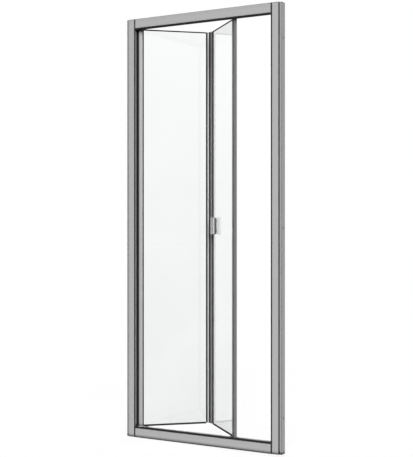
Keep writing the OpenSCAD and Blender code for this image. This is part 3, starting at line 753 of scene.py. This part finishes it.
# %% Rail seals
SEAL_T = 4.0
SEAL_FOOT = 2.0
STRIP_H = 8.0
NOSE_R = 1.4
STRIP_CHAMFER = 0.3
SHADOW_LINE = (2.4, 2.7, 3.0)
SHADOW_DEPTH = 0.5


def rail_seal(node, lip_down):
    """A strip with a rounded front, a shadow line and a foot clamped inside the rail."""
    low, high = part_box(node)
    front, foot_end, tip = low.y / MM, high.z / MM, low.z / MM
    if not lip_down:
        foot_end, tip = tip, foot_end
    way = 1.0 if lip_down else -1.0
    strip_end = tip + way * STRIP_H
    line_start, line_floor, line_end = (strip_end - way * part for part in SHADOW_LINE)
    nose = arc(front + NOSE_R, tip + way * NOSE_R, NOSE_R, NOSE_R * way, 180.0, 270.0)
    back = front + SEAL_T
    outline = nose + [
        (back, tip), (back, foot_end), (back - SEAL_FOOT, foot_end), (back - SEAL_FOOT, strip_end),
        (front + STRIP_CHAMFER, strip_end), (front, strip_end - way * STRIP_CHAMFER),
        (front, line_start), (front + SHADOW_DEPTH, line_floor), (front, line_end),
    ]
    prism_piece(node + "_extruded", node, outline, low.x / MM, high.x / MM, ALONG_X)


rail_seal("top_rail_seal", lip_down=True)
rail_seal("bottom_rail_seal", lip_down=False)
print("rail seals ready")

# %% Edge strips, soft strip and magnet strips
broken("post_edge_strips", width=0.35, steps=3, shortest=LONG)
GROOVE_FLOOR_HALF = 0.9
GROOVE_MOUTH_HALF = 1.5
MAGNET_GROOVE = 0.5
MAGNET_ROUND = 1.2
SOFT_ROUND = 1.7


def strip_outline(low, high, round_r, groove):
    """Rectangle with round corners on its +X side and a shallow groove between them."""
    half_y = (high.y - low.y) / 2.0
    centre = (high.y + low.y) / 2.0
    upper = arc(high.x - round_r, half_y - round_r, round_r, round_r, 0.0, 90.0)
    half = [(high.x - groove, GROOVE_FLOOR_HALF), (high.x, GROOVE_MOUTH_HALF)] + upper
    half.append((low.x, half_y))
    return [(x, centre + y) for x, y in half + mirrored(half)]


low, high = local_box("pivot_post_seal", room)
prism_piece("pivot_post_seal_extruded", "pivot_post_seal",
            strip_outline(low, high, SOFT_ROUND, 0.0), low.z, high.z, room)

low, high = local_box("strike_magnet_seal", room)
facing_left = at(low.x + high.x, 0.0) @ Matrix.Diagonal((-1, 1, 1, 1))
prism_piece("strike_magnet_seal_extruded", "strike_magnet_seal",
            strip_outline(low, high, MAGNET_ROUND, MAGNET_GROOVE), low.z, high.z, facing_left)

# %% Magnet strip of the closing stile, with the tongue that sits in the stile
MAGNET_T = 5.5
SEAT_INSET = 1.0
low, high = local_box("closing_magnet_seal", guide_leaf)
face_low = Vector((high.x - MAGNET_T, low.y, low.z))
shape = bmesh.new()
prism(shape, strip_outline(face_low, high, MAGNET_ROUND, MAGNET_GROOVE), low.z, high.z, guide_leaf)
tongue = [(low.x, low.y + SEAT_INSET), (face_low.x, low.y + SEAT_INSET),
          (face_low.x, high.y - SEAT_INSET), (low.x, high.y - SEAT_INSET)]
prism(shape, tongue, low.z, high.z, guide_leaf)
new_piece("closing_magnet_seal_extruded", shape, "closing_magnet_seal")
print("strips ready")

# %% [markdown]
# ## Handle
# The grip is a plate of aluminium on a dark moulded base, which keeps room for the fingers
# behind its edges. Its edges are rounded by 0.7 mm, enough to be kind to wet hands.

# %% Handle pieces
broken("handle_grip", width=0.7, steps=4)
broken("handle_base", width=0.8, steps=3, finish=dark_moulding)
broken("handle_pads", width=0.15, steps=1)
print("handle ready")


# %% [markdown]
# ## Turned pieces
# Pins, rods, bushes, rollers and bolts are made on a lathe, so they are made here by spinning a
# profile. The profile is a list of (radius, height) points, a closed loop for a ring. A clip is
# pressed from sheet, but it is the same ring, spun only part of the way round.


# %% Lathe
SEAM_GAP = 0.001 * MM


def turned(shape, profile, place, closed=False, steps=48, sweep=360.0):
    """Spins a profile in millimetres round the Z axis of place."""
    points = [shape.verts.new((radius * MM, 0.0, height * MM)) for radius, height in profile]
    pairs = list(zip(points, points[1:])) + ([(points[-1], points[0])] if closed else [])
    lines = [shape.edges.new(pair) for pair in pairs]
    whole = sweep >= 360.0
    ends = bmesh.ops.spin(shape, geom=points + lines, cent=(0, 0, 0), axis=(0, 0, 1),
                          angle=math.radians(sweep), steps=steps, use_merge=whole)
    made = [vert for vert in shape.verts if not vert.tag]
    if not whole:
        last = [part for part in ends["geom_last"] if isinstance(part, bmesh.types.BMVert)]
        for loop in (points, last):
            shape.faces.new(loop)
    bmesh.ops.remove_doubles(shape, verts=made, dist=SEAM_GAP)
    made = [vert for vert in shape.verts if not vert.tag]
    bmesh.ops.transform(shape, matrix=place, verts=made)
    for vert in made:
        vert.tag = True
    return made


def turned_piece(node, cuts, **settings):
    """One piece from a list of (profile, place)."""
    shape = bmesh.new()
    for profile, place in cuts:
        turned(shape, profile, place, **settings)
    new_piece(node + "_turned", shape, node)


# %% Profiles
def pin_profile(radius, low, high, chamfer):
    """A plain pin with a chamfer at both ends."""
    return [(0.0, low), (radius - chamfer, low), (radius, low + chamfer),
            (radius, high - chamfer), (radius - chamfer, high), (0.0, high)]


def ring_profile(outer, inner, low, high, chamfer=0.3):
    """A ring with chamfers inside and outside, as a closed loop."""
    return [(inner + chamfer, low), (outer - chamfer, low), (outer, low + chamfer),
            (outer, high - chamfer), (outer - chamfer, high), (inner + chamfer, high),
            (inner, high - chamfer), (inner, low + chamfer)]


def across(x, y, z):
    """A place in millimetres whose own Z axis runs along Y of the room."""
    return at(x, y, z) @ Matrix.Rotation(math.radians(-90.0), 4, "X")


# %% Pins and rod
PIN_R = 4.0
PIN_IN = 25.0
PIN_CHAMFER = 0.8
low, high = local_box("pivot_pins", pivot_leaf)
leaf_low, leaf_high = local_box("pivot_leaf_glass", pivot_leaf)
upper_pin = pin_profile(PIN_R, leaf_high.z - PIN_IN, high.z, PIN_CHAMFER)
lower_pin = pin_profile(PIN_R, low.z, leaf_low.z + PIN_IN, PIN_CHAMFER)
turned_piece("pivot_pins", [(upper_pin, pivot_leaf), (lower_pin, pivot_leaf)])

low, high = local_box("hinge_rod", pivot_leaf)
rod = pin_profile((high.x - low.x) / 2.0, low.z, high.z, PIN_CHAMFER)
rod_place = pivot_leaf @ at((low.x + high.x) / 2.0, (low.y + high.y) / 2.0)
turned_piece("hinge_rod", [(rod, rod_place)])

low, high = local_box("guide_pin", guide_leaf)
guide_place = at(guide_x / MM, 0.0)
turned_piece("guide_pin", [(pin_profile(PIN_R, low.z, high.z, PIN_CHAMFER), guide_place)])

# %% Carriage pin, stepped down where it enters the carriage
CARRIAGE_FOOT = 4.0
PLUG_HEAD = 1.0
STEP_IN = 1.0
STEP_CHAMFER = 0.3
NECK_CHAMFER = 0.5
low, high = local_box("carriage_pin", guide_leaf)
step_z = leaf_high.z + PLUG_HEAD + CARRIAGE_FOOT
neck_r = PIN_R - STEP_IN
stud = [(0.0, low.z), (PIN_R - PIN_CHAMFER, low.z), (PIN_R, low.z + PIN_CHAMFER),
        (PIN_R, step_z - STEP_CHAMFER), (PIN_R - STEP_CHAMFER, step_z), (neck_r, step_z),
        (neck_r, high.z - NECK_CHAMFER), (neck_r - NECK_CHAMFER, high.z), (0.0, high.z)]
turned_piece("carriage_pin", [(stud, guide_place)])
print("pins ready")

# %% Bushes and washer
RUN_GAP = 0.05
for node in ("top_pivot_bush", "bottom_pivot_bush", "thrust_washer"):
    low, high = local_box(node, room)
    ring = ring_profile((high.x - low.x) / 2.0, PIN_R + RUN_GAP, low.z, high.z)
    turned_piece(node, [(ring, at(pivot_x / MM, 0.0))], closed=True)
print("bushes ready")

# %% [markdown]
# ## Top carriage
# A carriage in the top rail leads the second leaf. Four rollers run on two axles, and a clip at
# each end of an axle keeps them on. A plain cylinder would do for the motion, but the dish and
# the hub on its sides are what make a roller look like one.

# %% Rollers
AXLE_R = 2.0
BORE_CHAMFER = 0.3
HUB_R = 4.0
DISH = 0.8
DISH_SLOPE = 0.3
RIM = 1.9
SHOULDER = 0.6


def roller_profile(outer, half):
    """A tread with chamfered shoulders, a shallow dish on each side and a hub."""
    bore = AXLE_R + RUN_GAP
    side = [(bore + BORE_CHAMFER, -half), (HUB_R, -half), (HUB_R + DISH_SLOPE, DISH - half),
            (outer - RIM - DISH_SLOPE, DISH - half), (outer - RIM, -half),
            (outer - SHOULDER, -half), (outer, SHOULDER - half)]
    return side + mirrored(side) + [(bore, half - BORE_CHAMFER), (bore, BORE_CHAMFER - half)]


for name in ("leading_outer", "leading_inner", "trailing_outer", "trailing_inner"):
    node = name + "_roller"
    low, high = local_box(node, room)
    middle = (low + high) / 2.0
    profile = roller_profile((high.x - low.x) / 2.0, (high.y - low.y) / 2.0)
    turned_piece(node, [(profile, across(*middle))], closed=True, steps=64)
print("rollers ready")

# %% Axles and clips
CLIP_T = 1.0
CLIP_SWEEP = 300.0
axle_low, axle_high = local_box("carriage_axles", room)
clip_low, clip_high = local_box("axle_clips", room)
axle_xs = (axle_low.x + AXLE_R, axle_high.x - AXLE_R)
axle_z = (axle_low.z + axle_high.z) / 2.0
axle = pin_profile(AXLE_R, axle_low.y, axle_high.y, chamfer=0.4)
turned_piece("carriage_axles", [(axle, across(x, 0.0, axle_z)) for x in axle_xs])

clip = ring_profile((clip_high.z - clip_low.z) / 2.0, AXLE_R, clip_high.y - CLIP_T, clip_high.y,
                    chamfer=0.15)
shape = bmesh.new()
for x in axle_xs:
    for side in (1.0, -1.0):
        place = across(x, 0.0, axle_z) @ Matrix.Diagonal((1, 1, side, 1))
        turned(shape, clip, place, closed=True, steps=30, sweep=CLIP_SWEEP)
new_piece("axle_clips_pressed", shape, "axle_clips")
print("carriage ready")

# %% [markdown]
# ## Screws
# A screw is turned too: a domed head with a socket, and a shank whose thread is a row of rings,
# since a true helix can't be told from rings at this size. The socket is spun round like the
# rest, and its wall is then moved in to the flats of a hexagon.

# %% Screw profile
SOCKET_R = 1.7
SOCKET_H = 1.5
RIM_SHARE = 0.35
THREAD_PITCH = 1.4
THREAD_DEPTH = 0.35
FIRST_RING = 0.6
TIP_H = 1.4
PLAIN_END = 2.0


def screw_profile(head_r, head_h, shank_r, length):
    """Profile of a screw along its length, with the head below 0."""
    floor_z = SOCKET_H - head_h
    head = [(0.0, floor_z), (SOCKET_R, floor_z), (SOCKET_R, -head_h)]
    head += arc(SOCKET_R, -head_h * RIM_SHARE, head_r - SOCKET_R, head_h * (1.0 - RIM_SHARE),
                -90.0, 0.0, steps=5)
    head += [(head_r, 0.0), (shank_r, 0.0)]
    core_r = shank_r - THREAD_DEPTH
    thread = []
    for k in range(int((length - PLAIN_END) / THREAD_PITCH)):
        start = FIRST_RING + k * THREAD_PITCH
        thread += [(core_r, start), (shank_r, start + THREAD_PITCH / 2.0)]
    return head + thread + [(core_r, length - TIP_H), (0.0, length)]


# %% Screws with their sockets
NEAR_WALL = 0.01 * MM


def to_hexagon(made, place):
    """Moves the round wall of a screw's socket in to the flats of a hexagon."""
    back = place.inverted()
    half_side = math.radians(30.0)
    for vert in made:
        spot = back @ vert.co
        if abs(math.hypot(spot.x, spot.y) - SOCKET_R * MM) < NEAR_WALL:
            turn = math.atan2(spot.y, spot.x) % (2.0 * half_side) - half_side
            share = math.cos(half_side) / math.cos(turn)
            spot.x *= share
            spot.y *= share
            vert.co = place @ spot


def screws(node, places, head_r, head_h, shank_r, length):
    """One piece with a screw at each place."""
    shape = bmesh.new()
    for place in places:
        made = turned(shape, screw_profile(head_r, head_h, shank_r, length), place, steps=24)
        to_hexagon(made, place)
    new_piece(node + "_turned", shape, node)


# %% Corner screws
SHANK_R = 2.1
HEAD_R = 3.6
HEAD_H = 2.6
POINT_LEFT = Matrix.Rotation(math.radians(-90.0), 4, "Y")
POINT_RIGHT = Matrix.Rotation(math.radians(90.0), 4, "Y")
low, high = local_box("corner_screws", room)
port_y = high.y - HEAD_R
port_zs = (low.z + HEAD_R, high.z - HEAD_R)
head_x = high.x - HEAD_H
places = [at(side * head_x, y, z) @ turn
          for side, turn in ((1, POINT_LEFT), (-1, POINT_RIGHT))
          for y in (-port_y, port_y) for z in port_zs]
screws("corner_screws", places, HEAD_R, HEAD_H, SHANK_R, length=22.0)
print("corner screws", len(places))

# %% Adjusting screws
POINT_FORWARD = Matrix.Rotation(math.radians(90.0), 4, "X")
low, high = local_box("adjusting_screws", room)
rows = (low.z + HEAD_R, (low.z + high.z) / 2.0, high.z - HEAD_R)
places = [at(side * (high.x - HEAD_R), high.y - HEAD_H, z) @ POINT_FORWARD
          for side in (1, -1) for z in rows]
screws("adjusting_screws", places, HEAD_R, HEAD_H, SHANK_R, length=10.0)
print("adjusting screws", len(places))

# %% Pivot block screws
POINT_DOWN = Matrix.Rotation(math.pi, 4, "X")
low, high = local_box("pivot_block_screws", room)
block_x = (low.x + high.x) / 2.0
top_z = local_box("top_pivot_block", room)[0].z
foot_z = local_box("bottom_pivot_block", room)[1].z
places = [at(block_x, y, top_z + HEAD_H) for y in (low.y + HEAD_R, high.y - HEAD_R)]
places.append(at(block_x, 0.0, foot_z - HEAD_H) @ POINT_DOWN)
screws("pivot_block_screws", places, HEAD_R, HEAD_H, SHANK_R, length=17.5)
print("pivot block screws", len(places))

# %% Handle bolts and sleeves
BOLT_R = 2.5
BOLT_HEAD_R = 6.5
BOLT_HEAD_H = 4.0
SLEEVE_R = 5.0
low, high = local_box("handle_bolts", guide_leaf)
bolt_x = (low.x + high.x) / 2.0
places = [guide_leaf @ at(bolt_x, high.y - BOLT_HEAD_H, z) @ POINT_FORWARD
          for z in (low.z + BOLT_HEAD_R, high.z - BOLT_HEAD_R)]
screws("handle_bolts", places, BOLT_HEAD_R, BOLT_HEAD_H, BOLT_R,
       length=high.y - BOLT_HEAD_H - low.y)

low, high = local_box("handle_sleeves", guide_leaf)
sleeve = ring_profile(SLEEVE_R, BOLT_R, low.y, high.y, chamfer=0.2)
turned_piece("handle_sleeves", [(sleeve, guide_leaf @ across(bolt_x, 0.0, z))
                                for z in (low.z + SLEEVE_R, high.z - SLEEVE_R)], closed=True)
print("handle fastened")

# %% [markdown]
# ## Track buffer
# A small block at the end of the track meets the carriage when the door is shut. Its near side is
# ridged, so that it gives way. The ridges are arcs in the outline, which is extruded in depth.

# %% Ridged block
RIDGES = 4
RIDGE_DEPTH = 1.4
RIDGE_SHARE = 0.46
ALONG_DEPTH = Matrix(((1, 0, 0, 0), (0, 0, 1, 0), (0, 1, 0, 0), (0, 0, 0, 1)))
low, high = local_box("track_buffer", room)
ridge_h = (high.z - low.z) / RIDGES
outline = [(high.x, high.z), (high.x, low.z)]
for k in range(RIDGES):
    middle = low.z + (k + 0.5) * ridge_h
    outline += arc(low.x + RIDGE_DEPTH, middle, RIDGE_DEPTH, ridge_h * RIDGE_SHARE, 270.0, 90.0)
prism_piece("track_buffer_moulded", "track_buffer", outline, low.y, high.y, ALONG_DEPTH)

# %% [markdown]
# ## Studio
# A plain pale floor and a soft key light from the right, as the photograph has: the faces that
# look right are about as light as the front ones, and those turned left are dark. A weak light
# from behind shows the side that faces the shower. Both lights are wide, so that the rails throw
# no band of shadow on the leaves. The world is white to the camera and through the glass, and
# gives a level fill everywhere else.

# %% World
FILL = 0.34
FILL_IN_REFLECTIONS = 0.2
WHITE = (1.0, 1.0, 1.0, 1.0)


def seen_directly(tree, path):
    """1 for rays from the camera, also through the glass, and 0 for all others."""
    return reckon(tree, "MAXIMUM", path["Is Camera Ray"], path["Is Transmission Ray"])


world = bpy.data.worlds.new("white_studio")
bpy.context.scene.world = world
world.use_nodes = True
tree = world.node_tree
tree.nodes.clear()
path = add(tree, "LightPath").outputs
strength = mapped(tree, path["Is Glossy Ray"], start=0.0, end=1.0,
                  low=FILL, high=FILL_IN_REFLECTIONS)
fill = add(tree, "Background", {"Color": WHITE, "Strength": strength})
white = add(tree, "Background", {"Color": WHITE, "Strength": 1.0})
either = add(tree, "MixShader",
             {0: seen_directly(tree, path), 1: fill.outputs[0], 2: white.outputs[0]})
add(tree, "OutputWorld", {"Surface": either.outputs[0]})
print("world", world.name)

# %% Key light and back light
SUN_WIDTH = math.radians(50.0)


def wide_sun(name, energy, toward):
    """A lamp as wide in the sky as SUN_WIDTH, shining along the direction toward."""
    sun = bpy.data.lights.new(name, "SUN")
    sun.energy = energy
    sun.angle = SUN_WIDTH
    lamp = bpy.data.objects.new(name, sun)
    lamp.rotation_euler = Vector(toward).to_track_quat("-Z", "Y").to_euler()
    bpy.context.scene.collection.objects.link(lamp)
    print(name, energy)


wide_sun("key_light", energy=4.4, toward=(-0.56, 0.83, -0.70))
wide_sun("back_light", energy=2.0, toward=(0.25, -0.60, -0.90))

# %% Floor finish, which the camera sees as white wherever no shadow falls
FLOOR_TONE = (0.12, 0.12, 0.12, 1.0)
FLOOR_LIFT = 0.801
floor_finish = bpy.data.materials.new("pale_floor")
floor_finish.use_nodes = True
tree = floor_finish.node_tree
tree.nodes.clear()
path = add(tree, "LightPath").outputs
pale = add(tree, "BsdfDiffuse", {"Color": FLOOR_TONE})
lift = reckon(tree, "MULTIPLY", seen_directly(tree, path), FLOOR_LIFT)
glow = add(tree, "Emission", {"Color": WHITE, "Strength": lift})
both = add(tree, "AddShader", {0: pale.outputs[0], 1: glow.outputs[0]})
add(tree, "OutputMaterial", {"Surface": both.outputs[0]})
print("floor finish ready")

# %% Floor
FLOOR_HALF = 40.0
shape = bmesh.new()
bmesh.ops.create_grid(shape, x_segments=1, y_segments=1, size=FLOOR_HALF)
floor_mesh = bpy.data.meshes.new("floor")
shape.to_mesh(floor_mesh)
shape.free()
floor = bpy.data.objects.new("floor", floor_mesh)
floor_mesh.materials.append(floor_finish)
bpy.context.scene.collection.objects.link(floor)
bpy.context.scene.view_settings.view_transform = "Standard"
print("studio ready")

# %% [markdown]
# ## Size
# The box that the solids fill is printed.

# %% Box of the solids
print("solids ", [[round(x, 4) for x in v] for v in solid_box])
